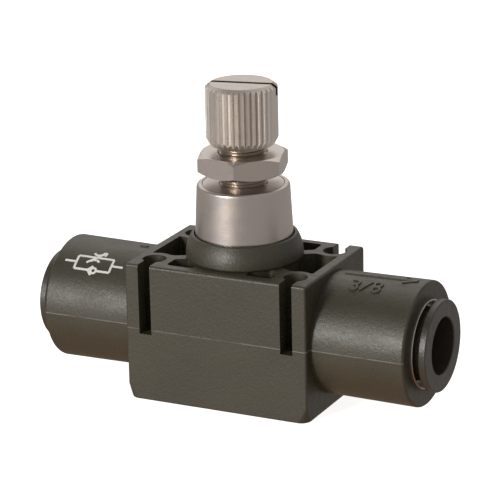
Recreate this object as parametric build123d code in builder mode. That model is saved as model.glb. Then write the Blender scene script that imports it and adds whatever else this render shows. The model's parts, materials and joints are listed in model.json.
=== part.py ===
from build123d import *
from math import asin, cos, degrees, pi, radians, sin, tan
import os

# In-line flow control valve with two push-in tube sockets, in millimetres.
# X runs through the two ports, Y from front to back and Z up. The origin is the middle of
# the block's underside. The adjuster stands on the Z axis.

# --- driving dimensions ---
block_length = 33.5
block_depth = 23.8
block_height = 24.1
port_height = 12.7
port_root_radius = 10.45
port_end_radius = 10.65
port_end = 33.45
tube_radius = 9.525 / 2
tube_clearance = 0.09

# the block's upright corners are nearly sharp, and swell to a round at the foot
block_corner = 0.35
foot_corner = 2.0
foot_height = 2.6
foot_edge = 0.3
block_rim = 0.5
port_edge = 0.4

# witness line of the mould, level with the ports
seam_width = 0.12
seam_rise = 0.04

boss_radius = 10.0
boss_top = 28.15
boss_crown = 7.0
boss_crown_start = 24.5
boss_lip = 0.3
boss_foot_rounding = 0.45
boss_root_radius = 9.3

# clip holes at the block's corners, each opening to the nearer face through a slot
clip_x = 13.15
clip_y = 7.8
clip_hole_radius = 2.05
clip_slot_width = 2.25
clip_bottom = port_height - 0.85
clip_wall = 1.1

# cored pockets in the block's top
end_wall = 1.75
side_pocket_half_width = 5.0
side_pocket_floor = 19.8
face_wall = 1.8
face_pocket_inner = 4.8
face_pocket_outer = 9.8
face_pocket_floor = 15.8
web_width = 2.0
side_pocket_corner = 0.3
face_pocket_corner = 0.75

# stepped bore down the Z axis
sleeve_bore_radius = 8.55
sleeve_bore_floor = 25.6
plug_bore_radius = 7.0
plug_bore_floor = 19.0
seat_bore_radius = 6.0
seat_bore_floor = 4.5

# bonnet and its bush
bonnet_bottom = 19.2
bonnet_top = 36.9
bonnet_base_radius = 8.3
bonnet_neck_radius = 7.86
bonnet_rounding = 0.6
turned_chamfer = 0.15
piston_bore_radius = 4.9
bush_bottom = 30.6
bush_radius = 7.0

# adjuster: an M8 x 0.5 thread, drawn at its root radius
thread_pitch = 0.5
thread_radius = 3.97
thread_root_radius = 3.7
closing_travel = 2.6 * thread_pitch
opening_travel = 7 * thread_pitch
piston_radius = 4.84
piston_bottom = 22.0
running_gap = 0.03
press_gap = 0.02
loose_gap = 0.05
needle_length = 4.4
needle_tip_radius = 0.6
needle_gap = 0.1
stem_radius = 2.4
collar_radius = 3.2
collar_height = 3.2
shank_radius = 2.98
shank_grip = 2.9

knob_bottom = 43.7
knob_top = 54.1
knob_radius = 6.08
knob_teeth = 36
tooth_depth = 0.5
tooth_crest = 0.32
first_tooth_angle = 6.5
knob_foot_bevel = (0.67, 1.15)
knob_top_bevel = (0.85, 0.65)
driver_slot_width = 1.1
driver_slot_depth = 1.9
driver_slot_angle = 11.5

nut_bottom = 38.9
nut_thickness = 3.4
nut_flats = 13.9
nut_corner_angle = 45.0
nut_bore_chamfer = 0.3
nut_chamfer_angle = 30.0
nut_chamfer_reach = 1.4

# seat insert and the one-way seal round it
seat_top = 13.8
hub_radius = 3.4
hub_bottom = 7.6
orifice_radius = 1.6
seat_chamfer = 0.5
foot_ring_wall = 1.2
foot_ring_height = 1.8
leg_width = 1.6
leg_top = 8.0
seal_groove_bottom = 9.6
seal_groove_top = 11.0
seal_groove_radius = 2.9
lip_base_radius = 4.5
lip_waist = (10.6, 11.3)
lip_top = 12.95
lip_thickness = 0.35

# O-ring grooves, bottom and top
stem_groove = (23.6, 24.8)
bonnet_groove = (20.4, 21.6)
o_ring_radius = 0.5

# one port, measured outwards along X from the middle of the valve
socket_radius = 7.55
socket_floor = 20.1
tube_stop = 15.3
gallery_start = 14.0
gallery_radius = 4.3
duct_radius = 2.2
duct_offset = 3.4
button_radius = 7.8
button_shank_radius = 6.1
button_back = 34.9
button_front = 36.15
button_nose = 26.2
button_nose_wall = 0.2
button_barb = 31.0
button_barb_radius = 6.6
button_rounding = 0.45
flange_back_rounding = 0.15
flange_front_rounding = 0.2
button_mouth_chamfer = 0.15
button_slot_width = 1.0
button_slot_start = 32.2
seal_length = 2.2
seal_lip_from = 0.8
seal_lip_to = 1.4
seal_flare = 0.75
spacer_back = 22.5
spacer_front = 24.9
spacer_cone = 23.6
grab_ring_back = 24.95
grab_ring_thickness = 0.3
grab_rim_radius = 6.4
grab_tooth_back = 24.25
grab_tooth_front = 24.52
grab_teeth = 12
grab_slit = 0.7
cartridge_back = 25.3
cartridge_wall = 0.3
cartridge_step_radius = 6.9
cartridge_web = (31.5, 32.5)
cartridge_gap = 0.15
cartridge_stand = 0.3
cartridge_rounding = 0.12

# marks raised on the ports' tops: an arrow pointing out of the right port, the tube size
# in front of it, and a short dash on the left port
mark_rise = 0.2
mark_root = 0.6
arrow_tail = 18.6
arrow_tip = 31.7
arrow_stroke = 0.5
arrow_head = 2.7
arrow_head_angle = 30.0
dash_length = 1.4
size_mark_x = 23.9
size_mark_tilt = 19.5
digit_height = 3.0
digit_offset = 2.0
digit_stroke = 0.42
slash_length = 2.9
slash_lean = -32.0

tube_bore_radius = tube_radius + tube_clearance
port_axis = Axis((0, 0, port_height), (1, 0, 0))
port_plane = Plane((0, 0, port_height), x_dir=(0, 1, 0), z_dir=(1, 0, 0))
sides = {"left": -1, "right": 1}
corners = [(sx * clip_x, sy * clip_y) for sx in (-1, 1) for sy in (-1, 1)]

os.makedirs("parts", exist_ok=True)


def save(piece, name):
    """Label a finished piece and write its STEP file."""
    piece.part.label = name
    export_step(piece.part, f"parts/{name}.step")


def outline(points):
    """Draw a closed straight-sided face in the current sketch."""
    Polygon(*points, align=None)


def along_port(points, side):
    """Turn (distance along the port, radius) pairs into X and Z."""
    return [(side * x, port_height + r) for x, r in points]


def barrel_outline(rise, side):
    """Half the section of one port's tapered barrel, rise proud of its skin."""
    return along_port(
        [
            (0, 0),
            (0, port_root_radius + rise),
            (block_length / 2, port_root_radius + rise),
            (port_end, port_end_radius + rise),
            (port_end, 0),
        ],
        side,
    )


# ---------------------------------------------------------------- body
tilt = radians(size_mark_tilt)
mark_normal = Vector(0, -sin(tilt), cos(tilt))
mark_origin = (
    Vector(size_mark_x, 0, port_height) + mark_normal * (port_root_radius - mark_root)
)
loop = (digit_height + digit_stroke) / 4

with BuildPart() as right_marks:
    with BuildSketch(Plane.XY.offset(port_height + port_root_radius - mark_root)):
        with Locations(((arrow_tail + arrow_tip) / 2, 0)):
            Rectangle(arrow_tip - arrow_tail, arrow_stroke)
        for turn in (180 - arrow_head_angle, 180 + arrow_head_angle):
            with Locations((arrow_tip, 0)):
                Rectangle(
                    arrow_head, arrow_stroke, rotation=turn, align=(Align.MIN, Align.CENTER)
                )
    extrude(amount=2 * mark_root)

    # tube size in eighths of an inch: a three, a slash and an eight
    with BuildSketch(Plane(mark_origin, x_dir=(1, 0, 0), z_dir=mark_normal)):
        for x in (-digit_offset, digit_offset):
            for y in (loop - digit_stroke / 2, digit_stroke / 2 - loop):
                with Locations((x, y)):
                    Circle(loop)
                    Circle(loop - digit_stroke, mode=Mode.SUBTRACT)
        # open the three's loops on their left
        with Locations((-digit_offset - loop, 0)):
            Rectangle(1.6 * loop, 2.4 * loop, mode=Mode.SUBTRACT)
        Rectangle(digit_stroke, slash_length, rotation=slash_lean)
    extrude(amount=2 * mark_root)
    with BuildSketch(Plane.XZ):
        outline(barrel_outline(mark_rise, sides["right"]))
    revolve(axis=port_axis, mode=Mode.INTERSECT)

with BuildPart() as left_mark:
    with BuildSketch(Plane.XY.offset(port_height + port_root_radius - mark_root)):
        with Locations((-arrow_tail - dash_length / 2, 0)):
            Rectangle(dash_length, arrow_stroke)
    extrude(amount=2 * mark_root)
    with BuildSketch(Plane.XZ):
        outline(barrel_outline(mark_rise, sides["left"]))
    revolve(axis=port_axis, mode=Mode.INTERSECT)

with BuildPart() as body:
    with BuildSketch():
        RectangleRounded(block_length, block_depth, foot_corner)
    with BuildSketch(Plane.XY.offset(foot_height)):
        RectangleRounded(block_length, block_depth, block_corner)
    loft()
    with BuildSketch(Plane.XY.offset(foot_height)):
        RectangleRounded(block_length, block_depth, block_corner)
    extrude(amount=block_height - foot_height)
    fillet(body.faces().sort_by(Axis.Z)[0].edges(), foot_edge)
    fillet(body.faces().sort_by(Axis.Z)[-1].edges(), block_rim)

    for side in sides.values():
        with BuildSketch(Plane.XZ):
            outline(barrel_outline(0, side))
        revolve(axis=port_axis)
    fillet(body.faces().filter_by(Axis.X).group_by(Axis.X)[0].edges(), port_edge)
    fillet(body.faces().filter_by(Axis.X).group_by(Axis.X)[-1].edges(), port_edge)
    add(right_marks.part)
    add(left_mark.part)

    # mould seam round the block and along the barrels
    root = port_root_radius + seam_rise
    end = port_end_radius + seam_rise
    with BuildSketch(Plane.XY.offset(port_height - seam_width / 2)):
        RectangleRounded(
            block_length + 2 * seam_rise, block_depth + 2 * seam_rise, block_corner
        )
        for x in (block_length / 2, -block_length / 2):
            tip = (port_end - port_edge) * (1 if x > 0 else -1)
            outline([(0, -root), (x, -root), (tip, -end), (tip, end), (x, root), (0, root)])
    extrude(amount=seam_width)

    # domed boss round the bonnet, its foot curled under where it meets the block
    crown_turn = asin((boss_top - boss_crown_start) / boss_crown)
    boss_mouth = boss_radius - boss_crown * (1 - cos(crown_turn))
    with BuildSketch(Plane.XZ):
        with BuildLine():
            Polyline(
                (boss_mouth, boss_top),
                (0, boss_top),
                (0, face_pocket_floor),
                (boss_root_radius, face_pocket_floor),
                (boss_root_radius, boss_crown_start - boss_foot_rounding),
                (boss_radius - boss_foot_rounding, boss_crown_start - boss_foot_rounding),
            )
            JernArc((boss_radius, boss_crown_start), (0, -1), boss_foot_rounding, -90)
            JernArc(
                (boss_radius, boss_crown_start), (0, 1), boss_crown, degrees(crown_turn)
            )
        make_face()
    revolve(axis=Axis.Z)
    fillet(body.faces().sort_by(Axis.Z)[-1].edges(), boss_lip)

    # clip holes and their slots, cut out past the seam
    slot_reach = block_depth / 2 + 2 * seam_rise
    with BuildSketch(Plane.XY.offset(block_height)):
        with Locations(*corners):
            Circle(clip_hole_radius)
        for x, y in corners:
            out = 1 if y > 0 else -1
            with Locations((x, out * (clip_y + slot_reach) / 2)):
                Rectangle(clip_slot_width, slot_reach - clip_y)
    extrude(amount=clip_bottom - block_height, mode=Mode.SUBTRACT)

    # cored pockets at the two ends, and four along the two faces
    face_pocket_length = face_pocket_outer - face_pocket_inner
    for floor in (side_pocket_floor, face_pocket_floor):
        with BuildSketch(Plane.XY.offset(floor)) as pockets:
            if floor == side_pocket_floor:
                Rectangle(block_length - 2 * end_wall, 2 * side_pocket_half_width)
            else:
                middle = (face_pocket_inner + face_pocket_outer) / 2
                with Locations((-middle, 0), (middle, 0)):
                    Rectangle(face_pocket_length, block_depth - 2 * face_wall)
                    Rectangle(
                        face_pocket_length, 2 * side_pocket_half_width, mode=Mode.SUBTRACT
                    )
            Circle(boss_root_radius, mode=Mode.SUBTRACT)
            with Locations(*corners):
                Circle(clip_hole_radius + clip_wall, mode=Mode.SUBTRACT)
            for turn in (30, 150, 210, 330):
                Rectangle(
                    2 * clip_x, web_width, rotation=turn, mode=Mode.SUBTRACT,
                    align=(Align.MIN, Align.CENTER),
                )
            fillet(
                pockets.vertices(),
                side_pocket_corner if floor == side_pocket_floor else face_pocket_corner,
            )
        extrude(amount=block_height - floor, mode=Mode.SUBTRACT)

    # stepped bore for the bonnet and the seat insert
    with BuildSketch(Plane.XZ):
        outline(
            [
                (0, seat_bore_floor),
                (seat_bore_radius, seat_bore_floor),
                (seat_bore_radius, plug_bore_floor),
                (plug_bore_radius, plug_bore_floor),
                (plug_bore_radius, sleeve_bore_floor),
                (sleeve_bore_radius, sleeve_bore_floor),
                (sleeve_bore_radius, boss_top + 1),
                (0, boss_top + 1),
            ]
        )
    revolve(axis=Axis.Z, mode=Mode.SUBTRACT)

    # sockets: cartridge bore, tube bore and the gallery behind the tube's end
    for side in sides.values():
        with BuildSketch(Plane.XZ):
            outline(
                along_port(
                    [
                        (port_end + 1, 0),
                        (port_end + 1, socket_radius),
                        (socket_floor, socket_radius),
                        (socket_floor, tube_bore_radius),
                        (tube_stop, tube_bore_radius),
                        (tube_stop, gallery_radius),
                        (gallery_start, gallery_radius),
                        (gallery_start, 0),
                    ],
                    side,
                )
            )
        revolve(axis=port_axis, mode=Mode.SUBTRACT)

        # the left duct enters below the seat and the right duct above it
        with BuildSketch(port_plane.offset(side * (gallery_start + 1))):
            with Locations((0, side * duct_offset)):
                Circle(duct_radius)
        extrude(amount=-side * (gallery_start + 1 - seat_bore_radius / 2), mode=Mode.SUBTRACT)
save(body, "body")

# ---------------------------------------------------------------- bonnet
plug_radius = plug_bore_radius - running_gap
bonnet_groove_radius = plug_bore_radius - 2 * o_ring_radius - loose_gap

with BuildPart() as bonnet:
    with BuildSketch(Plane.XZ):
        outline(
            [
                (piston_bore_radius, bonnet_bottom),
                (plug_radius, bonnet_bottom),
                (plug_radius, bonnet_groove[0]),
                (bonnet_groove_radius, bonnet_groove[0]),
                (bonnet_groove_radius, bonnet_groove[1]),
                (plug_radius, bonnet_groove[1]),
                (plug_radius, sleeve_bore_floor),
                (bonnet_base_radius, sleeve_bore_floor),
                (bonnet_base_radius, boss_top),
                (bonnet_neck_radius, bonnet_top),
                (bush_radius, bonnet_top),
                (bush_radius, bush_bottom),
                (piston_bore_radius, bush_bottom),
            ]
        )
    revolve(axis=Axis.Z)
    top_rim = bonnet.edges().filter_by(GeomType.CIRCLE).group_by(Axis.Z)[-1]
    fillet(top_rim.sort_by(SortBy.RADIUS)[-1], bonnet_rounding)
    chamfer(bonnet.edges().filter_by(GeomType.CIRCLE).group_by(Axis.Z)[0], turned_chamfer)
save(bonnet, "bonnet")

# the bush closes the bonnet, guides the thread and stops the piston
with BuildPart() as guide_bush:
    with BuildSketch(Plane.XY.offset(bush_bottom)):
        Circle(bush_radius)
        Circle(thread_radius + running_gap, mode=Mode.SUBTRACT)
    extrude(amount=bonnet_top - loose_gap - bush_bottom)
    bush_rims = guide_bush.edges().filter_by(GeomType.CIRCLE).group_by(Axis.Z)[-1]
    chamfer(bush_rims, turned_chamfer)
save(guide_bush, "guide_bush")

# ---------------------------------------------------------------- adjuster
stem_groove_radius = piston_bore_radius - 2 * (o_ring_radius + 2 * press_gap)
needle_radius = orifice_radius - needle_gap
needle_shoulder = seat_top - seat_chamfer + closing_travel - 2 * press_gap
needle_flare = stem_radius - needle_radius
collar_bottom = piston_bottom - collar_height
piston_top = bush_bottom - opening_travel - 2 * loose_gap
shank_top = knob_top - shank_grip - 2 * loose_gap

with BuildPart() as needle_spindle:
    with BuildSketch(Plane.XZ):
        outline(
            [
                (0, needle_shoulder - needle_length),
                (needle_tip_radius, needle_shoulder - needle_length),
                (needle_radius, needle_shoulder),
                (stem_radius, needle_shoulder + needle_flare),
                (stem_radius, collar_bottom - collar_radius + stem_radius),
                (collar_radius, collar_bottom),
                (collar_radius, piston_bottom),
                (piston_radius, piston_bottom),
                (piston_radius, stem_groove[0]),
                (stem_groove_radius, stem_groove[0]),
                (stem_groove_radius, stem_groove[1]),
                (piston_radius, stem_groove[1]),
                (piston_radius, piston_top),
                (thread_root_radius, piston_top),
                (thread_root_radius, knob_bottom),
                (shank_radius, knob_bottom),
                (shank_radius, shank_top),
                (0, shank_top),
            ]
        )
    revolve(axis=Axis.Z)
save(needle_spindle, "needle_spindle")

with BuildPart() as knurled_knob:
    # straight knurl: each tooth has a narrow crest and a V valley on either side
    tooth = 2 * pi / knob_teeth
    half_crest = tooth_crest * tooth / 2
    knurl = []
    for i in range(knob_teeth):
        middle = radians(first_tooth_angle) + i * tooth
        for turn, radius in (
            (middle - half_crest, knob_radius),
            (middle + half_crest, knob_radius),
            (middle + tooth / 2, knob_radius - tooth_depth),
        ):
            knurl.append((radius * cos(turn), radius * sin(turn)))
    with BuildSketch(Plane.XY.offset(knob_bottom)):
        outline(knurl)
    extrude(amount=knob_top - knob_bottom)

    # bevelled ends
    with BuildSketch(Plane.XZ):
        outline(
            [
                (0, knob_bottom),
                (knob_radius - knob_foot_bevel[0], knob_bottom),
                (knob_radius, knob_bottom + knob_foot_bevel[1]),
                (knob_radius, knob_top - knob_top_bevel[1]),
                (knob_radius - knob_top_bevel[0], knob_top),
                (0, knob_top),
            ]
        )
    revolve(axis=Axis.Z, mode=Mode.INTERSECT)

    # driver slot across the top, and the bore that grips the spindle's shank
    with BuildSketch(Plane.XY.offset(knob_top)):
        Rectangle(2 * knob_radius + 1, driver_slot_width, rotation=driver_slot_angle)
    extrude(amount=-driver_slot_depth, mode=Mode.SUBTRACT)
    with BuildSketch(Plane.XY.offset(knob_bottom)):
        Circle(shank_radius + press_gap)
    extrude(amount=knob_top - shank_grip - knob_bottom, mode=Mode.SUBTRACT)
save(knurled_knob, "knurled_knob")

with BuildPart() as lock_nut:
    with BuildSketch(Plane.XY.offset(nut_bottom)):
        RegularPolygon(
            nut_flats / 2, 6, major_radius=False, rotation=nut_corner_angle
        )
    extrude(amount=nut_thickness)

    # chamfers on both faces, reaching past the corners
    reach = nut_flats / 2 + nut_chamfer_reach
    drop = nut_chamfer_reach * tan(radians(nut_chamfer_angle))
    nut_top = nut_bottom + nut_thickness
    with BuildSketch(Plane.XZ):
        outline(
            [
                (0, nut_bottom),
                (nut_flats / 2, nut_bottom),
                (reach, nut_bottom + drop),
                (reach, nut_top - drop),
                (nut_flats / 2, nut_top),
                (0, nut_top),
            ]
        )
    revolve(axis=Axis.Z, mode=Mode.INTERSECT)
    with BuildSketch(Plane.XY.offset(nut_bottom)):
        Circle(thread_radius + running_gap)
    extrude(amount=nut_thickness, mode=Mode.SUBTRACT)
    nut_bore = lock_nut.edges().filter_by(GeomType.CIRCLE)
    chamfer(nut_bore.filter_by(lambda edge: edge.radius < nut_flats / 3), nut_bore_chamfer)
save(lock_nut, "lock_nut")

# ---------------------------------------------------------------- seals on the Z axis
with BuildPart() as stem_o_ring:
    with BuildSketch(Plane.XZ):
        ring_radius = piston_bore_radius - o_ring_radius - 2 * press_gap
        with Locations((ring_radius, sum(stem_groove) / 2)):
            Circle(o_ring_radius)
    revolve(axis=Axis.Z)
save(stem_o_ring, "stem_o_ring")

with BuildPart() as bonnet_o_ring:
    with BuildSketch(Plane.XZ):
        ring_radius = plug_bore_radius - o_ring_radius - press_gap
        with Locations((ring_radius, sum(bonnet_groove) / 2)):
            Circle(o_ring_radius)
    revolve(axis=Axis.Z)
save(bonnet_o_ring, "bonnet_o_ring")

# ---------------------------------------------------------------- seat insert
with BuildPart() as seat_insert:
    with BuildSketch(Plane.XZ):
        outline(
            [
                (orifice_radius, hub_bottom),
                (hub_radius, hub_bottom),
                (hub_radius, seal_groove_bottom),
                (seal_groove_radius, seal_groove_bottom),
                (seal_groove_radius, seal_groove_top),
                (hub_radius, seal_groove_top),
                (hub_radius, seat_top),
                (orifice_radius + seat_chamfer, seat_top),
                (orifice_radius, seat_top - seat_chamfer),
            ]
        )
    revolve(axis=Axis.Z)
    # foot ring pressed in the bottom of the bore
    with BuildSketch(Plane.XY.offset(seat_bore_floor)):
        Circle(seat_bore_radius)
        Circle(seat_bore_radius - foot_ring_wall, mode=Mode.SUBTRACT)
    extrude(amount=foot_ring_height)
    # three legs carry the hub and leave the left duct open
    with BuildSketch(Plane.XY.offset(seat_bore_floor)):
        with PolarLocations((orifice_radius + seat_bore_radius) / 2, 3):
            Rectangle(seat_bore_radius - orifice_radius - leg_width / 2, leg_width)
    extrude(amount=leg_top - seat_bore_floor)
save(seat_insert, "seat_insert")

# a flared lip: flow from below folds it in, flow from above presses it on the bore
with BuildPart() as check_lip_seal:
    with BuildSketch(Plane.XZ):
        outline(
            [
                (seal_groove_radius + loose_gap, seal_groove_bottom + loose_gap),
                (lip_base_radius, seal_groove_bottom + loose_gap),
                (lip_base_radius + lip_thickness, lip_waist[0]),
                (seat_bore_radius - loose_gap, lip_top - lip_thickness),
                (seat_bore_radius - loose_gap, lip_top),
                (seat_bore_radius - lip_thickness, lip_top),
                (lip_base_radius - lip_thickness, lip_waist[1]),
                (lip_base_radius - lip_thickness, seal_groove_top - loose_gap),
                (seal_groove_radius + loose_gap, seal_groove_top - loose_gap),
            ]
        )
    revolve(axis=Axis.Z)
save(check_lip_seal, "check_lip_seal")

# ---------------------------------------------------------------- port pieces
seal_back = socket_floor + 2 * loose_gap
guide_radius = button_shank_radius + cartridge_gap
cartridge_radius = socket_radius - press_gap
cartridge_front = port_end + cartridge_stand
grab_ring_front = grab_ring_back + grab_ring_thickness

for side_name, side in sides.items():
    with BuildPart() as tube_seal:
        with BuildSketch(Plane.XZ):
            outline(
                along_port(
                    [
                        (seal_back, socket_radius - loose_gap),
                        (seal_back + seal_length, socket_radius - loose_gap),
                        (seal_back + seal_length, tube_bore_radius + seal_flare),
                        (seal_back + seal_lip_to, tube_bore_radius + press_gap),
                        (seal_back + seal_lip_from, tube_bore_radius + press_gap),
                        (seal_back, tube_bore_radius + seal_flare),
                    ],
                    side,
                )
            )
        revolve(axis=port_axis)
    save(tube_seal, f"{side_name}_tube_seal")

    with BuildPart() as spacer_ring:
        with BuildSketch(Plane.XZ):
            outline(
                along_port(
                    [
                        (spacer_back, socket_radius - loose_gap),
                        (spacer_front, socket_radius - loose_gap),
                        (spacer_front, button_barb_radius),
                        (spacer_cone, tube_bore_radius + button_nose_wall),
                        (spacer_back, tube_bore_radius + button_nose_wall),
                    ],
                    side,
                )
            )
        revolve(axis=port_axis)
    save(spacer_ring, f"{side_name}_spacer_ring")

    # sprung steel teeth lean inwards, so a tube goes in and can't come back out
    with BuildPart() as grab_ring:
        with BuildSketch(Plane.XZ):
            outline(
                along_port(
                    [
                        (grab_ring_back, socket_radius - cartridge_gap),
                        (grab_ring_front, socket_radius - cartridge_gap),
                        (grab_ring_front, grab_rim_radius),
                        (grab_tooth_front, tube_bore_radius + loose_gap),
                        (grab_tooth_back, tube_bore_radius + 2 * loose_gap),
                        (grab_ring_back, grab_rim_radius + cartridge_gap),
                    ],
                    side,
                )
            )
        revolve(axis=port_axis)
        with BuildSketch(port_plane.offset(side * spacer_cone)):
            with PolarLocations(0, grab_teeth):
                Rectangle(grab_rim_radius, grab_slit, align=(Align.MIN, Align.CENTER))
        extrude(amount=side * (cartridge_back - spacer_cone), mode=Mode.SUBTRACT)
    save(grab_ring, f"{side_name}_grab_ring")

    with BuildPart() as cartridge_ring:
        with BuildSketch(Plane.XZ):
            outline(
                along_port(
                    [
                        (cartridge_back, cartridge_step_radius),
                        (cartridge_back, cartridge_radius),
                        (cartridge_front, cartridge_radius),
                        (cartridge_front, cartridge_radius - cartridge_wall),
                        (cartridge_web[1], cartridge_radius - cartridge_wall),
                        (cartridge_web[1], guide_radius),
                        (cartridge_web[0], guide_radius),
                        (cartridge_web[0], cartridge_step_radius),
                    ],
                    side,
                )
            )
        revolve(axis=port_axis)
        ring_rims = cartridge_ring.edges().filter_by(GeomType.CIRCLE).filter_by(
            lambda edge: edge.radius > cartridge_radius - press_gap
        )
        front_rim = max(ring_rims, key=lambda edge: abs(edge.center().X))
        fillet(front_rim, cartridge_rounding)
    save(cartridge_ring, f"{side_name}_cartridge_ring")

    with BuildPart() as release_button:
        with BuildSketch(Plane.XZ):
            outline(
                along_port(
                    [
                        (button_nose, tube_bore_radius + button_nose_wall),
                        (button_nose, button_shank_radius - button_rounding),
                        (button_nose + 2 * button_rounding, button_shank_radius),
                        (button_barb - 2 * button_rounding, button_shank_radius),
                        (button_barb, button_barb_radius),
                        (button_barb + button_rounding, button_barb_radius),
                        (button_barb + button_rounding, button_shank_radius),
                        (button_back, button_shank_radius),
                        (button_back, button_radius),
                        (button_front, button_radius),
                        (button_front, tube_bore_radius + button_mouth_chamfer),
                        (button_front - button_mouth_chamfer, tube_bore_radius),
                        (button_nose + button_nose_wall, tube_bore_radius),
                    ],
                    side,
                )
            )
        revolve(axis=port_axis)
        flange_rims = release_button.edges().filter_by(GeomType.CIRCLE).filter_by(
            lambda edge: edge.radius > button_radius - press_gap
        )
        back_rim, front_rim = sorted(flange_rims, key=lambda edge: abs(edge.center().X))
        fillet(back_rim, flange_back_rounding)
        fillet(front_rim, flange_front_rounding)
        # four slots let the barb spring in past the cartridge ring
        with BuildSketch(port_plane.offset(side * (button_nose - 0.5))):
            with PolarLocations(0, 4, start_angle=45):
                Rectangle(button_radius, button_slot_width, align=(Align.MIN, Align.CENTER))
        extrude(amount=side * (button_slot_start - button_nose), mode=Mode.SUBTRACT)
    save(release_button, f"{side_name}_release_button")
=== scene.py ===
import json
from math import cos, pi, radians, sin

import bmesh
import bpy
from mathutils import Matrix, Vector


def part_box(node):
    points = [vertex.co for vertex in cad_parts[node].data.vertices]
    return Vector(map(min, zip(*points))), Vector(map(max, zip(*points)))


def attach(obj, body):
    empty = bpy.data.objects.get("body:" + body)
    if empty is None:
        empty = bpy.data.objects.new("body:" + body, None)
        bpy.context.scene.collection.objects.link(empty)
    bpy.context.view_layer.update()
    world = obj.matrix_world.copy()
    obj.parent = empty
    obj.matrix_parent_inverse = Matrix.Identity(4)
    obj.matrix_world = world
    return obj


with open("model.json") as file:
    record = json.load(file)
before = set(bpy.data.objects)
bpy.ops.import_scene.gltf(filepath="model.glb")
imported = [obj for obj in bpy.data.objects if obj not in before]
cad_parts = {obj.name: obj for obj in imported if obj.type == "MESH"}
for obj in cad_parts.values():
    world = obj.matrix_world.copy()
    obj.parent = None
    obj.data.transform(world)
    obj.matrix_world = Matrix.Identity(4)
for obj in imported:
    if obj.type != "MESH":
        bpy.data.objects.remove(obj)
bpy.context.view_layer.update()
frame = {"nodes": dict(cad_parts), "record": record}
MM = 0.001

# ---------------------------------------------------------------- places read from the frame
port_mount = next(m for m in frame["record"]["mounts"] if m["name"] == "tube_port_right")
PORT_HEIGHT = port_mount["pos_m"][2]
knob_low, knob_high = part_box("knurled_knob")

# ---------------------------------------------------------------- sizes shared with the CAD
# distance along X and radius of a port's barrel, at the block and at its open end
PORT_ROOT = (16.75 * MM, 10.45 * MM)
PORT_END = (33.45 * MM, 10.65 * MM)
THREAD_ROOT = 3.7 * MM
THREAD_PITCH = 0.5 * MM
PISTON_TOP = 27.0 * MM
DRIVER_SLOT_ANGLE = 11.5
DRIVER_SLOT_HALF_WIDTH = 0.55 * MM
DRIVER_SLOT_DEPTH = 1.9 * MM


# ---------------------------------------------------------------- node helpers
# most of a noise texture's values lie between these
NOISE_LOW = 0.3
NOISE_HIGH = 0.7


class Nodes:
    """Short calls for building one node tree over a coordinate."""

    def __init__(self, tree, coordinate):
        self.tree = tree
        self.place = self.add("ShaderNodeTexCoord").outputs[coordinate]

    def add(self, kind, **settings):
        """Add a node and set its properties."""
        node = self.tree.nodes.new(kind)
        for key, value in settings.items():
            setattr(node, key, value)
        return node

    def link(self, source, socket):
        """Join an output to an input."""
        self.tree.links.new(source, socket)

    def math(self, operation, a, b=0.0):
        """One step of arithmetic, on sockets or numbers."""
        node = self.add("ShaderNodeMath", operation=operation)
        for socket, value in zip(node.inputs, (a, b)):
            if isinstance(value, (int, float)):
                socket.default_value = value
            else:
                self.link(value, socket)
        return node.outputs[0]

    def split(self):
        """The point's own X, Y and Z in metres."""
        node = self.add("ShaderNodeSeparateXYZ")
        self.link(self.place, node.inputs[0])
        return node.outputs

    def noise(self, size, detail=2.0, stretch=(1, 1, 1), rough=0.5):
        """Noise whose lumps are about size metres across, stretched along an axis."""
        mapping = self.add("ShaderNodeMapping")
        self.link(self.place, mapping.inputs["Vector"])
        mapping.inputs["Scale"].default_value = [1 / (size * s) for s in stretch]
        node = self.add("ShaderNodeTexNoise")
        self.link(mapping.outputs[0], node.inputs["Vector"])
        node.inputs["Scale"].default_value = 1.0
        node.inputs["Detail"].default_value = detail
        node.inputs["Roughness"].default_value = rough
        return node.outputs[0]

    def spread(self, value, low, high, start=NOISE_LOW, end=NOISE_HIGH):
        """Map value from start..end to low..high, held at both ends."""
        node = self.add("ShaderNodeMapRange")
        self.link(value, node.inputs["Value"])
        node.inputs["From Min"].default_value = start
        node.inputs["From Max"].default_value = end
        node.inputs["To Min"].default_value = low
        node.inputs["To Max"].default_value = high
        return node.outputs[0]

    def colours(self, value, stops):
        """Turn a 0..1 value into a colour by (position, colour) stops."""
        ramp = self.add("ShaderNodeValToRGB")
        self.link(value, ramp.inputs[0])
        elements = ramp.color_ramp.elements
        while len(elements) < len(stops):
            elements.new(0.5)
        for element, (position, colour) in zip(elements, stops):
            element.position = position
            element.color = (*colour, 1)
        return ramp.outputs[0]

    def radius(self, x, y):
        """Distance from the Z axis, from X and Y."""
        squares = self.math("ADD", self.math("MULTIPLY", x, x), self.math("MULTIPLY", y, y))
        return self.math("SQRT", squares)

    def mix(self, factor, a, b):
        """Blend two colours by a factor socket."""
        node = self.add("ShaderNodeMix", data_type="RGBA")
        self.link(factor, node.inputs[0])
        for socket, value in ((node.inputs[6], a), (node.inputs[7], b)):
            if isinstance(value, tuple):
                socket.default_value = (*value, 1)
            else:
                self.link(value, socket)
        return node.outputs[2]


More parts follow.
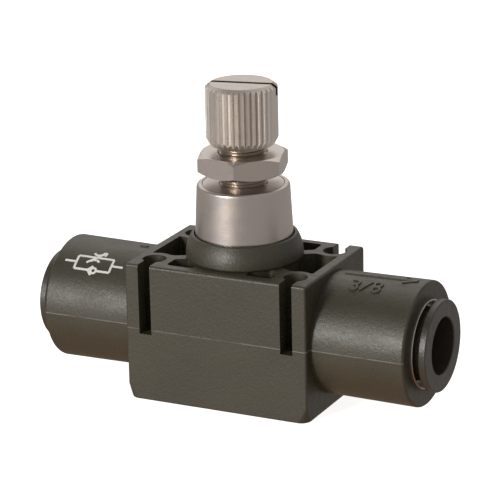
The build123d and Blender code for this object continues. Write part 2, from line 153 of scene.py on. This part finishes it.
class Surface(Nodes):
    """A material's tree, with its shader."""

    def __init__(self, name):
        self.material = bpy.data.materials.new(name)
        self.material.use_nodes = True
        super().__init__(self.material.node_tree, "Object")
        self.shader = self.tree.nodes["Principled BSDF"]

    def set(self, **values):
        """Set constants on the shader, with _ for a space in a socket's name."""
        for key, value in values.items():
            self.shader.inputs[key.replace("_", " ")].default_value = value

    def drive(self, name, source):
        """Let a socket set one of the shader's inputs."""
        self.link(source, self.shader.inputs[name])

    def bump(self, *layers):
        """Stack (height socket, height in metres) layers into the shader's normal."""
        normal = None
        for height, distance in layers:
            node = self.add("ShaderNodeBump")
            node.inputs["Strength"].default_value = 1.0
            node.inputs["Distance"].default_value = distance
            self.link(height, node.inputs["Height"])
            if normal is not None:
                self.link(normal, node.inputs["Normal"])
            normal = node.outputs[0]
        self.drive("Normal", normal)


# ---------------------------------------------------------------- materials
SEAM_WHITE = (0.20, 0.19, 0.175)
# the seam shows on the skin past these distances: the front and back, the ends, the barrels
SEAM_FACE = 11.8 * MM
SEAM_END = 16.7 * MM
SEAM_BARREL = 10.3 * MM
SEAM_CORE = 0.06 * MM
SEAM_EDGE = 0.12 * MM
PLASTIC_IOR = 1.52
PLASTIC_SHEEN = 0.7
FLOW_CLOUD = 7 * MM
MOULD_GRAIN = 0.55 * MM
COLOUR_SPECK = 0.35 * MM
SCUFF_LENGTH = 1.6 * MM
GRAIN_HEIGHT = 0.06 * MM
CLOUD_HEIGHT = 0.05 * MM


def moulded_plastic(name, dark, light, roughness, seam=False):
    """Glass-filled nylon: fine grain, faint flow clouds and, on the body, a rubbed mould seam."""
    m = Surface(name)
    clouds = m.noise(FLOW_CLOUD, detail=4, stretch=(1.8, 1, 1))
    grain = m.noise(MOULD_GRAIN, detail=4, rough=0.7)
    speck = m.noise(COLOUR_SPECK, detail=3, rough=0.7)
    scuff = m.noise(SCUFF_LENGTH, detail=5, stretch=(3, 1, 1), rough=0.65)
    tone = m.math("ADD", m.math("MULTIPLY", clouds, 0.4), m.math("MULTIPLY", speck, 0.6))
    colour = m.colours(tone, [(NOISE_LOW, dark), (NOISE_HIGH, light)])
    rough = m.math(
        "ADD", m.spread(scuff, roughness - 0.05, roughness + 0.07), m.spread(grain, -0.03, 0.03)
    )
    m.drive("Roughness", rough)
    if seam:
        x, y, z = m.split()
        off = m.math("ABSOLUTE", m.math("SUBTRACT", z, PORT_HEIGHT))
        ridge = m.spread(off, 1.0, 0.0, start=SEAM_CORE, end=SEAM_EDGE)
        far_x, far_y = m.math("ABSOLUTE", x), m.math("ABSOLUTE", y)
        on_face = m.math("GREATER_THAN", far_y, SEAM_FACE)
        on_end = m.math(
            "MULTIPLY", m.math("GREATER_THAN", far_x, SEAM_END),
            m.math("GREATER_THAN", far_y, SEAM_BARREL),
        )
        skin = m.math("MAXIMUM", on_face, on_end)
        rubbed = m.math("MULTIPLY", skin, m.spread(scuff, 0.3, 1.0, 0.38, 0.56))
        colour = m.mix(m.math("MULTIPLY", ridge, rubbed), colour, SEAM_WHITE)
    m.drive("Base Color", colour)
    m.bump((grain, GRAIN_HEIGHT), (clouds, CLOUD_HEIGHT))
    m.set(IOR=PLASTIC_IOR, Specular_IOR_Level=PLASTIC_SHEEN)
    return m.material


# the noise between these is where the plating turns from clean to tarnished
TARNISH_FROM = 0.38
TARNISH_TO = 0.68
TURNING_MARK = 0.10 * MM
TURNING_DEPTH = 0.006 * MM
RING_STRETCH = (60, 60, 1)
PLATING_CLOUD = 3.5 * MM
PIT_SIZE = 0.35 * MM
PIT_DEPTH = 0.008 * MM


def turned_nickel(name, base, warm, roughness, marks=TURNING_MARK, depth=TURNING_DEPTH):
    """Nickel plating over turned brass: fine rings round Z, soft tarnish and small pits."""
    m = Surface(name)
    rings = m.noise(marks, detail=3, stretch=RING_STRETCH)
    cloud = m.noise(PLATING_CLOUD, detail=5, rough=0.6)
    pits = m.noise(PIT_SIZE, detail=2)
    tarnish = m.spread(cloud, 0.0, 1.0, TARNISH_FROM, TARNISH_TO)
    m.drive("Base Color", m.mix(tarnish, base, warm))
    rough = m.math(
        "ADD", m.spread(cloud, roughness - 0.04, roughness + 0.07), m.spread(rings, -0.03, 0.04)
    )
    m.drive("Roughness", rough)
    m.bump((rings, depth), (pits, PIT_DEPTH))
    m.set(Metallic=1.0)
    return m.material


# radii just outside the knurl's valleys and just inside its crests (5.58 and 6.08 mm)
VALLEY_TONE_FROM = 5.62 * MM
VALLEY_TONE_TO = 5.92 * MM
KNOB_CLOUD = 2.2 * MM
KNOB_GRAIN = 0.18 * MM
KNOB_GRAIN_HEIGHT = 0.012 * MM
END_MARK_PITCH = 0.14 * MM
END_MARK_HEIGHT = 0.0025 * MM
# depths below the knob's top where the knurl's painted light is full and where it is gone
BEVEL_FROM = 0.8 * MM
BEVEL_TO = 0.3 * MM
# painted shade in the driver slot: how far past its rim, sides and floor it is full, and where it
# is gone
SLOT_SHADE_RIM = (0.06 * MM, 0.02 * MM)
SLOT_SHADE_SIDE = (0.005 * MM, 0.015 * MM)
SLOT_SHADE_FLOOR = (0.05 * MM, 0.2 * MM)
SLOT_SHADE_ROUGHNESS = 0.3


def knurled_nickel(name, base, warm, crest_light, valley_light, slot, roughness):
    """As the turned plating, with the knurl painted lighter than the plating (painted light,
    lightest on the crests), concentric end marks and painted shade in the driver slot."""
    m = Surface(name)
    x, y, z = m.split()
    radius = m.radius(x, y)
    top = knob_high.z
    cloud = m.noise(KNOB_CLOUD, detail=5, rough=0.6)
    fine = m.noise(KNOB_GRAIN, detail=3, stretch=(1, 1, 5))
    plating = m.mix(m.spread(cloud, 0.0, 1.0, TARNISH_FROM, TARNISH_TO), base, warm)
    # painted light: below the top bevel the knurl is coloured lighter than the plating, crests
    # lightest; its valleys lie just inside its crests
    below_top = m.spread(z, 1.0, 0.0, start=top - BEVEL_FROM, end=top - BEVEL_TO)
    in_valley = m.spread(radius, 1.0, 0.0, start=VALLEY_TONE_FROM, end=VALLEY_TONE_TO)
    plating = m.mix(below_top, plating, m.mix(in_valley, crest_light, valley_light))
    # distance across the driver slot
    turn = radians(DRIVER_SLOT_ANGLE)
    offset = m.math("ADD", m.math("MULTIPLY", x, -sin(turn)), m.math("MULTIPLY", y, cos(turn)))
    across = m.math("ABSOLUTE", offset)
    in_slot = m.spread(
        across, 1.0, 0.0, start=DRIVER_SLOT_HALF_WIDTH + SLOT_SHADE_SIDE[0],
        end=DRIVER_SLOT_HALF_WIDTH + SLOT_SHADE_SIDE[1],
    )
    sunk = m.spread(z, 1.0, 0.0, start=top - SLOT_SHADE_RIM[0], end=top - SLOT_SHADE_RIM[1])
    deep = m.spread(
        z, 0.0, 1.0, start=top - DRIVER_SLOT_DEPTH - SLOT_SHADE_FLOOR[1],
        end=top - DRIVER_SLOT_DEPTH - SLOT_SHADE_FLOOR[0],
    )
    # painted shade: the slot's walls and floor take the dark slot colour and a rougher finish
    slot_shade = m.math("MULTIPLY", m.math("MULTIPLY", in_slot, sunk), deep)
    m.drive("Base Color", m.mix(slot_shade, plating, slot))
    rough = m.spread(cloud, roughness - 0.05, roughness + 0.07)
    rough = m.math("ADD", rough, m.math("MULTIPLY", slot_shade, SLOT_SHADE_ROUGHNESS))
    m.drive("Roughness", rough)
    wave = m.math("SINE", m.math("MULTIPLY", radius, 2 * pi / END_MARK_PITCH))
    m.bump((fine, KNOB_GRAIN_HEIGHT), (wave, END_MARK_HEIGHT))
    m.set(Metallic=1.0)
    return m.material


RUBBER_BLOOM = 1.2 * MM
RUBBER_GRAIN = 0.15 * MM
RUBBER_GRAIN_HEIGHT = 0.01 * MM
BLOOM_GAIN = 2.2


def rubber(name, tone, roughness):
    """Moulded nitrile: matt black with a fine bloom."""
    m = Surface(name)
    bloom = m.noise(RUBBER_BLOOM, detail=4)
    grain = m.noise(RUBBER_GRAIN, detail=2)
    light = tuple(BLOOM_GAIN * c for c in tone)
    m.drive("Base Color", m.colours(bloom, [(0.35, tone), (0.7, light)]))
    m.drive("Roughness", m.spread(grain, roughness - 0.05, roughness + 0.08))
    m.bump((grain, RUBBER_GRAIN_HEIGHT))
    return m.material


ACETAL_DARK = (0.70, 0.68, 0.62)
ACETAL_LIGHT = (0.80, 0.79, 0.74)
ACETAL_FLOW = 2 * MM
ACETAL_GRAIN = 0.2 * MM
ACETAL_GRAIN_HEIGHT = 0.006 * MM
ACETAL_SCATTER = 0.8 * MM


def natural_acetal(name):
    """Unfilled acetal: milky white with faint flow lines."""
    m = Surface(name)
    flow = m.noise(ACETAL_FLOW, detail=4, stretch=(1, 1, 3))
    grain = m.noise(ACETAL_GRAIN, detail=2)
    colour = m.colours(flow, [(NOISE_LOW, ACETAL_DARK), (NOISE_HIGH, ACETAL_LIGHT)])
    m.drive("Base Color", colour)
    m.drive("Roughness", m.spread(flow, 0.28, 0.40))
    m.bump((grain, ACETAL_GRAIN_HEIGHT))
    m.set(Subsurface_Weight=0.15, Subsurface_Scale=ACETAL_SCATTER)
    return m.material


STEEL_DARK = (0.50, 0.50, 0.51)
STEEL_LIGHT = (0.62, 0.61, 0.60)
STEEL_CLOUD = 2 * MM
SCRATCH_WIDTH = 0.08 * MM
SCRATCH_DEPTH = 0.004 * MM


def spring_steel(name):
    """Rolled stainless strip with fine scratches along it."""
    m = Surface(name)
    scratch = m.noise(SCRATCH_WIDTH, detail=3, stretch=(1, 30, 1))
    cloud = m.noise(STEEL_CLOUD, detail=3)
    colour = m.colours(cloud, [(NOISE_LOW, STEEL_DARK), (NOISE_HIGH, STEEL_LIGHT)])
    m.drive("Base Color", colour)
    m.drive("Roughness", m.spread(scratch, 0.2, 0.34))
    m.bump((scratch, SCRATCH_DEPTH))
    m.set(Metallic=1.0)
    return m.material


INK_WORN = (0.62, 0.62, 0.60)
INK_WHITE = (0.84, 0.84, 0.82)
INK_SPECK = 0.3 * MM
INK_SPECK_HEIGHT = 0.006 * MM


def white_ink(name):
    """Pad-printed ink: slightly broken coverage over the moulding's grain."""
    m = Surface(name)
    wear = m.noise(INK_SPECK, detail=4, rough=0.7)
    colour = m.colours(wear, [(NOISE_LOW, INK_WORN), (0.55, INK_WHITE)])
    m.drive("Base Color", colour)
    m.drive("Roughness", m.spread(wear, 0.45, 0.6))
    m.bump((wear, INK_SPECK_HEIGHT))
    return m.material


PAPER_DARK = (0.90, 0.90, 0.895)
PAPER_LIGHT = (0.915, 0.915, 0.91)
PAPER_TOOTH = 1.5 * MM
PAPER_GLOW = (1.0, 0.995, 0.985, 1)
PAPER_GLOW_STRENGTH = 0.88


def studio_paper(name):
    """Backlit white paper with the faintest tooth."""
    m = Surface(name)
    tooth = m.noise(PAPER_TOOTH, detail=3)
    colour = m.colours(tooth, [(NOISE_LOW, PAPER_DARK), (NOISE_HIGH, PAPER_LIGHT)])
    m.drive("Base Color", colour)
    m.drive("Roughness", m.spread(tooth, 0.85, 0.95))
    m.set(
        Specular_IOR_Level=0.2, Emission_Color=PAPER_GLOW, Emission_Strength=PAPER_GLOW_STRENGTH
    )
    return m.material


NICKEL = (0.605, 0.548, 0.528)
NICKEL_WARM = (0.64, 0.567, 0.512)
# painted shade: the spindle and its thread are plated darker than the rest, for the shade under
# the knob
SPINDLE_SHADED_NICKEL = (0.50, 0.45, 0.41)
SPINDLE_SHADED_WARM = (0.47, 0.40, 0.32)
looks = {
    "black_plastic": moulded_plastic(
        "body_nylon", (0.031, 0.027, 0.015), (0.060, 0.052, 0.030), 0.44, seam=True
    ),
    "button_plastic": moulded_plastic(
        "button_acetal", (0.036, 0.029, 0.021), (0.048, 0.039, 0.029), 0.38
    ),
    "white_acetal": natural_acetal("insert_acetal"),
    "nickel_plate": turned_nickel("turned_nickel", NICKEL, NICKEL_WARM, 0.30),
    "spring_steel": spring_steel("rolled_steel"),
    "nitrile": rubber("nitrile", (0.012, 0.012, 0.013), 0.6),
}
special_looks = {
    # painted light: the knurl's crest and valley tones are lighter than the plating; painted
    # shade: the near-black slot colour
    "knurled_knob": knurled_nickel(
        "knurled_nickel", NICKEL, NICKEL_WARM, (0.80, 0.74, 0.69), (0.68, 0.62, 0.56),
        (0.05, 0.045, 0.03), 0.30,
    ),
    # painted shade: darker plating on the spindle and its thread
    "needle_spindle": turned_nickel("threaded_nickel_shaded", SPINDLE_SHADED_NICKEL, SPINDLE_SHADED_WARM, 0.30),
    "lock_nut": turned_nickel(
        "milled_nickel", NICKEL, NICKEL_WARM, 0.27, marks=0.16 * MM, depth=0.004 * MM
    ),
}
for part in frame["record"]["subparts"]:
    node = frame["nodes"][part["node"]]
    node.data.materials.clear()
    node.data.materials.append(special_looks.get(part["node"], looks[part["material_slot"]]))


# ---------------------------------------------------------------- mesh helpers
def mesh_object(name, bm, material, body):
    """Finish a bmesh as a piece that rides a body."""
    bmesh.ops.recalc_face_normals(bm, faces=bm.faces)
    mesh = bpy.data.meshes.new(name)
    bm.to_mesh(mesh)
    bm.free()
    mesh.materials.append(material)
    piece = bpy.data.objects.new(name, mesh)
    bpy.context.scene.collection.objects.link(piece)
    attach(piece, body)
    return piece


def loft(bm, rings, closed=False):
    """Join equal rings of points one after another. The ends are capped, or joined if closed."""
    rows = [[bm.verts.new(p) for p in ring] for ring in rings]
    following = rows[1:] + rows[:1] if closed else rows[1:]
    for a, b in zip(rows, following):
        for i in range(len(a)):
            j = (i + 1) % len(a)
            bm.faces.new((a[i], a[j], b[j], b[i]))
    if not closed:
        bm.faces.new(rows[0])
        bm.faces.new(reversed(rows[-1]))


# ---------------------------------------------------------------- spindle thread
# the crest stays just inside the 4.0 mm bores of the bush and the nut
THREAD_CREST = 3.96 * MM
STEPS_PER_TURN = 72
FADE_STEPS = 24
THREAD_CLEAR_BELOW = 0.4 * MM
THREAD_CLEAR_ABOVE = 0.35 * MM
HALF_FOOT = 0.22 * MM
HALF_CREST = 0.035 * MM
FOOT_SINK = 0.02 * MM
LEAST_RISE = 0.005 * MM
SMOOTH_BELOW = radians(35)


def spindle_thread():
    """One helical ridge up the spindle, faded in and out over a third of a turn."""
    start = PISTON_TOP + THREAD_CLEAR_BELOW
    end = knob_low.z - THREAD_CLEAR_ABOVE
    count = int((end - start) / THREAD_PITCH * STEPS_PER_TURN)
    low = THREAD_ROOT - FOOT_SINK
    rings = []
    for i in range(count + 1):
        turn = 2 * pi * i / STEPS_PER_TURN
        z = start + THREAD_PITCH * i / STEPS_PER_TURN
        fade = min(1.0, i / FADE_STEPS, (count - i) / FADE_STEPS)
        high = THREAD_ROOT + LEAST_RISE + (THREAD_CREST - THREAD_ROOT) * fade
        section = (
            (low, -HALF_FOOT), (high, -HALF_CREST), (high, HALF_CREST), (low, HALF_FOOT)
        )
        rings.append([(r * cos(turn), r * sin(turn), z + dz) for r, dz in section])
    bm = bmesh.new()
    loft(bm, rings)
    piece = mesh_object(
        "spindle_thread", bm, special_looks["needle_spindle"], "adjuster"
    )
    piece.data.shade_smooth()
    piece.data.set_sharp_from_angle(angle=SMOOTH_BELOW)


spindle_thread()


# ---------------------------------------------------------------- printed flow symbol
# middle of the print: distance along X, and angle round the port from its top to the front
SYMBOL_X = -25.8 * MM
SYMBOL_TILT = radians(37)
INK_WIDTH = 0.42 * MM
INK_FOOT = -0.01 * MM
INK_TOP = 0.012 * MM
# half lengths of the symbol and of its box, and the height of the box's rails
SYMBOL_HALF = 5.6 * MM
BRANCH_HALF = 3.4 * MM
RAIL = 1.35 * MM
THROTTLE_RADIUS = 1.0 * MM
THROTTLE_OFFSET = 1.55 * MM
ARROW_REACH = 1.5 * MM
ARROW_RISE = 1.3 * MM
BALL_RADIUS = 0.5 * MM
BALL_X = 0.35 * MM
SEAT_TIP = -0.75 * MM
SEAT_END = 0.1 * MM
SEAT_HALF = 0.85 * MM


def on_port(across, along, lift):
    """A point on the left port's skin: across runs up the print, along runs with X."""
    x = SYMBOL_X + along
    taper = (-x - PORT_ROOT[0]) / (PORT_END[0] - PORT_ROOT[0])
    skin = PORT_ROOT[1] + (PORT_END[1] - PORT_ROOT[1]) * taper
    turn = SYMBOL_TILT - across / skin
    return (x, -(skin + lift) * sin(turn), PORT_HEIGHT + (skin + lift) * cos(turn))


def ink_stroke(bm, points, closed=False):
    """A flat ink band along a path of (along, across) points on the port's skin."""
    path = [Vector(p) for p in points]
    count = len(path)
    rings = []
    for i, here in enumerate(path):
        before = path[i - 1] if closed or i else here
        after = path[(i + 1) % count] if closed or i < count - 1 else here
        course = (after - before).normalized()
        side = Vector((-course.y, course.x)) * INK_WIDTH / 2
        left, right = here + side, here - side
        rings.append([
            on_port(left.y, left.x, INK_FOOT), on_port(left.y, left.x, INK_TOP),
            on_port(right.y, right.x, INK_TOP), on_port(right.y, right.x, INK_FOOT),
        ])
    loft(bm, rings, closed)


def straight(a, b, pieces=10):
    """Points along a straight stroke, close enough to follow the port's curve."""
    start, end = Vector(a), Vector(b)
    return [start.lerp(end, i / pieces) for i in range(pieces + 1)]


def arc(centre, radius, start, end, pieces=14):
    """Points along an arc, angles in degrees."""
    turns = [radians(start + (end - start) * i / pieces) for i in range(pieces + 1)]
    return [(centre[0] + radius * cos(t), centre[1] + radius * sin(t)) for t in turns]


def flow_symbol():
    """The standard throttle-and-check schematic, printed on the left port."""
    arrow_tip = (ARROW_REACH, RAIL + ARROW_RISE)
    seat_tip = (SEAT_TIP, -RAIL)
    strokes = [
        straight((-SYMBOL_HALF, 0), (-BRANCH_HALF, 0)),
        straight((BRANCH_HALF, 0), (SYMBOL_HALF, 0)),
        straight((-BRANCH_HALF, -RAIL), (-BRANCH_HALF, RAIL)),
        straight((BRANCH_HALF, -RAIL), (BRANCH_HALF, RAIL)),
        straight((-BRANCH_HALF, RAIL), (BRANCH_HALF, RAIL)),
        straight((-BRANCH_HALF, -RAIL), seat_tip),
        straight((0.95 * MM, -RAIL), (BRANCH_HALF, -RAIL)),
        # throttle: two arcs squeeze the upper rail and an arrow crosses it
        arc((0, RAIL + THROTTLE_OFFSET), THROTTLE_RADIUS, 215, 325),
        arc((0, RAIL - THROTTLE_OFFSET), THROTTLE_RADIUS, 35, 145),
        straight((-ARROW_REACH, RAIL - ARROW_RISE), arrow_tip),
        straight(arrow_tip, (0.75 * MM, RAIL + 1.15 * MM), 3),
        straight(arrow_tip, (1.35 * MM, RAIL + 0.5 * MM), 3),
        # check: a ball against a seat
        straight(seat_tip, (SEAT_END, -RAIL + SEAT_HALF), 4),
        straight(seat_tip, (SEAT_END, -RAIL - SEAT_HALF), 4),
    ]
    bm = bmesh.new()
    for points in strokes:
        ink_stroke(bm, points)
    ink_stroke(bm, arc((BALL_X, -RAIL), BALL_RADIUS, 0, 345, 24), closed=True)
    mesh_object("flow_symbol_print", bm, white_ink("white_ink"), "valve_body")


flow_symbol()


# ---------------------------------------------------------------- studio
# radiance, with angles in degrees and azimuths from the front (-Y) towards +X
EVEN_LIGHT = 0.38
LEAST_LIGHT = 0.02
FRONT_GLOW = (-26, 36, 0.32)  # azimuth, reach, radiance
FRONT_GLOW_FADE = (0.3, 0.7)  # rise of the direction where it starts to fade and is gone
BACK_GLOW = (210, 48, 44, 0.95)  # azimuth, elevation, reach, radiance
LEFT_SHADE = (-58, 62, 48, 0.30)  # the same, taken away
COOL_LIGHT = (1.0, 0.965, 0.93)
WARM_LIGHT = (0.95, 0.64, 0.44)
WARM_FADE = (-0.75, -0.35)  # rise of the direction where the warm light fades and is gone
FLOOR_RADIUS = 4.0
FLOOR_SEGMENTS = 96
LIT_POINT = (0, 0, 25 * MM)
SOFTBOX_AZIMUTH = -19
SOFTBOX_HEIGHT = 0.20
SOFTBOX_DISTANCE = 0.66
SOFTBOX_SIZE = (0.12, 0.18)
SOFTBOX_POWER = 2.5
SOFTBOX_TINT = (1.0, 0.985, 0.95)
# the camera, fitted to the photo
VIEW_AZIMUTH = radians(26.49)
VIEW_ELEVATION = radians(17.86)
VIEW_ROLL = radians(-1.25)
VIEW_DISTANCE = 465.7 * MM
VIEW_TARGET = (0.97 * MM, 0, 25.01 * MM)
SENSOR_WIDTH = 36.0
FOCAL_LENGTH = 198.6
NEAREST_SEEN = 10 * MM


def studio_floor():
    """A wide round floor under the valve."""
    bm = bmesh.new()
    bmesh.ops.create_circle(bm, cap_ends=True, segments=FLOOR_SEGMENTS, radius=FLOOR_RADIUS)
    mesh = bpy.data.meshes.new("studio_floor")
    bm.to_mesh(mesh)
    bm.free()
    mesh.materials.append(studio_paper("studio_paper"))
    floor = bpy.data.objects.new("studio_floor", mesh)
    floor.visible_glossy = False
    floor.visible_diffuse = False
    bpy.context.scene.collection.objects.link(floor)


def softbox():
    """One soft lamp at the front left, aimed at the middle of the valve."""
    light = bpy.data.lights.new("front_softbox", "AREA")
    light.shape = "RECTANGLE"
    light.size, light.size_y = SOFTBOX_SIZE
    light.energy = SOFTBOX_POWER
    light.color = SOFTBOX_TINT
    lamp = bpy.data.objects.new("front_softbox", light)
    bpy.context.scene.collection.objects.link(lamp)
    turn = radians(SOFTBOX_AZIMUTH)
    lamp.location = (
        SOFTBOX_DISTANCE * sin(turn), -SOFTBOX_DISTANCE * cos(turn), SOFTBOX_HEIGHT
    )
    aim = Vector(LIT_POINT) - lamp.location
    lamp.rotation_euler = aim.to_track_quat("-Z", "Y").to_euler()


def surroundings():
    """Soft light from all round: a tall glow at the front left, a round one high at the back
    left, a dimmer patch high on the left, and warm light from below."""
    world = bpy.data.worlds.new("surroundings")
    world.use_nodes = True
    sky = Nodes(world.node_tree, "Generated")
    x, y, z = sky.split()
    level = sky.radius(x, y)

    def toward(azimuth, elevation):
        """How nearly a direction points to an azimuth and elevation, up to 1."""
        turn, lift = radians(azimuth), radians(elevation)
        flat = sky.math(
            "ADD", sky.math("MULTIPLY", x, sin(turn) * cos(lift)),
            sky.math("MULTIPLY", y, -cos(turn) * cos(lift)),
        )
        return sky.math("ADD", flat, sky.math("MULTIPLY", z, sin(lift)))

    def column(azimuth, reach, amount):
        """A glow as tall as the room at an azimuth, gone at reach degrees to either side."""
        near = sky.math("DIVIDE", toward(azimuth, 0), sky.math("MAXIMUM", level, 0.01))
        return sky.spread(near, 0.0, amount, start=cos(radians(reach)), end=1.0)

    def patch(azimuth, elevation, reach, amount):
        """A round glow, gone at reach degrees from its middle."""
        return sky.spread(
            toward(azimuth, elevation), 0.0, amount, start=cos(radians(reach)), end=1.0
        )

    below = sky.spread(z, 1.0, 0.0, start=FRONT_GLOW_FADE[0], end=FRONT_GLOW_FADE[1])
    light = sky.math("ADD", sky.math("MULTIPLY", column(*FRONT_GLOW), below), EVEN_LIGHT)
    light = sky.math("ADD", light, patch(*BACK_GLOW))
    light = sky.math("SUBTRACT", light, patch(*LEFT_SHADE))
    background = world.node_tree.nodes["Background"]
    from_below = sky.spread(z, 1.0, 0.0, start=WARM_FADE[0], end=WARM_FADE[1])
    sky.link(sky.mix(from_below, COOL_LIGHT, WARM_LIGHT), background.inputs["Color"])
    sky.link(sky.math("MAXIMUM", light, LEAST_LIGHT), background.inputs["Strength"])
    bpy.context.scene.world = world


def photo_camera():
    """A long lens above the front right, with the slight roll of a hand-held view."""
    outward = cos(VIEW_ELEVATION)
    back = Vector(
        (sin(VIEW_AZIMUTH) * outward, -cos(VIEW_AZIMUTH) * outward, sin(VIEW_ELEVATION))
    )
    level = Vector((cos(VIEW_AZIMUTH), sin(VIEW_AZIMUTH), 0))
    upright = back.cross(level)
    right = cos(VIEW_ROLL) * level + sin(VIEW_ROLL) * upright
    up = cos(VIEW_ROLL) * upright - sin(VIEW_ROLL) * level
    lens = bpy.data.cameras.new("photo_camera")
    lens.sensor_width = SENSOR_WIDTH
    lens.lens = FOCAL_LENGTH
    lens.clip_start = NEAREST_SEEN
    camera = bpy.data.objects.new("photo_camera", lens)
    bpy.context.scene.collection.objects.link(camera)
    turn = Matrix((right, up, back)).transposed().to_4x4()
    place = Vector(VIEW_TARGET) + back * VIEW_DISTANCE
    camera.matrix_world = Matrix.Translation(place) @ turn
    bpy.context.scene.camera = camera


studio_floor()
surroundings()
softbox()
photo_camera()

bpy.context.scene.view_settings.view_transform = "Standard"
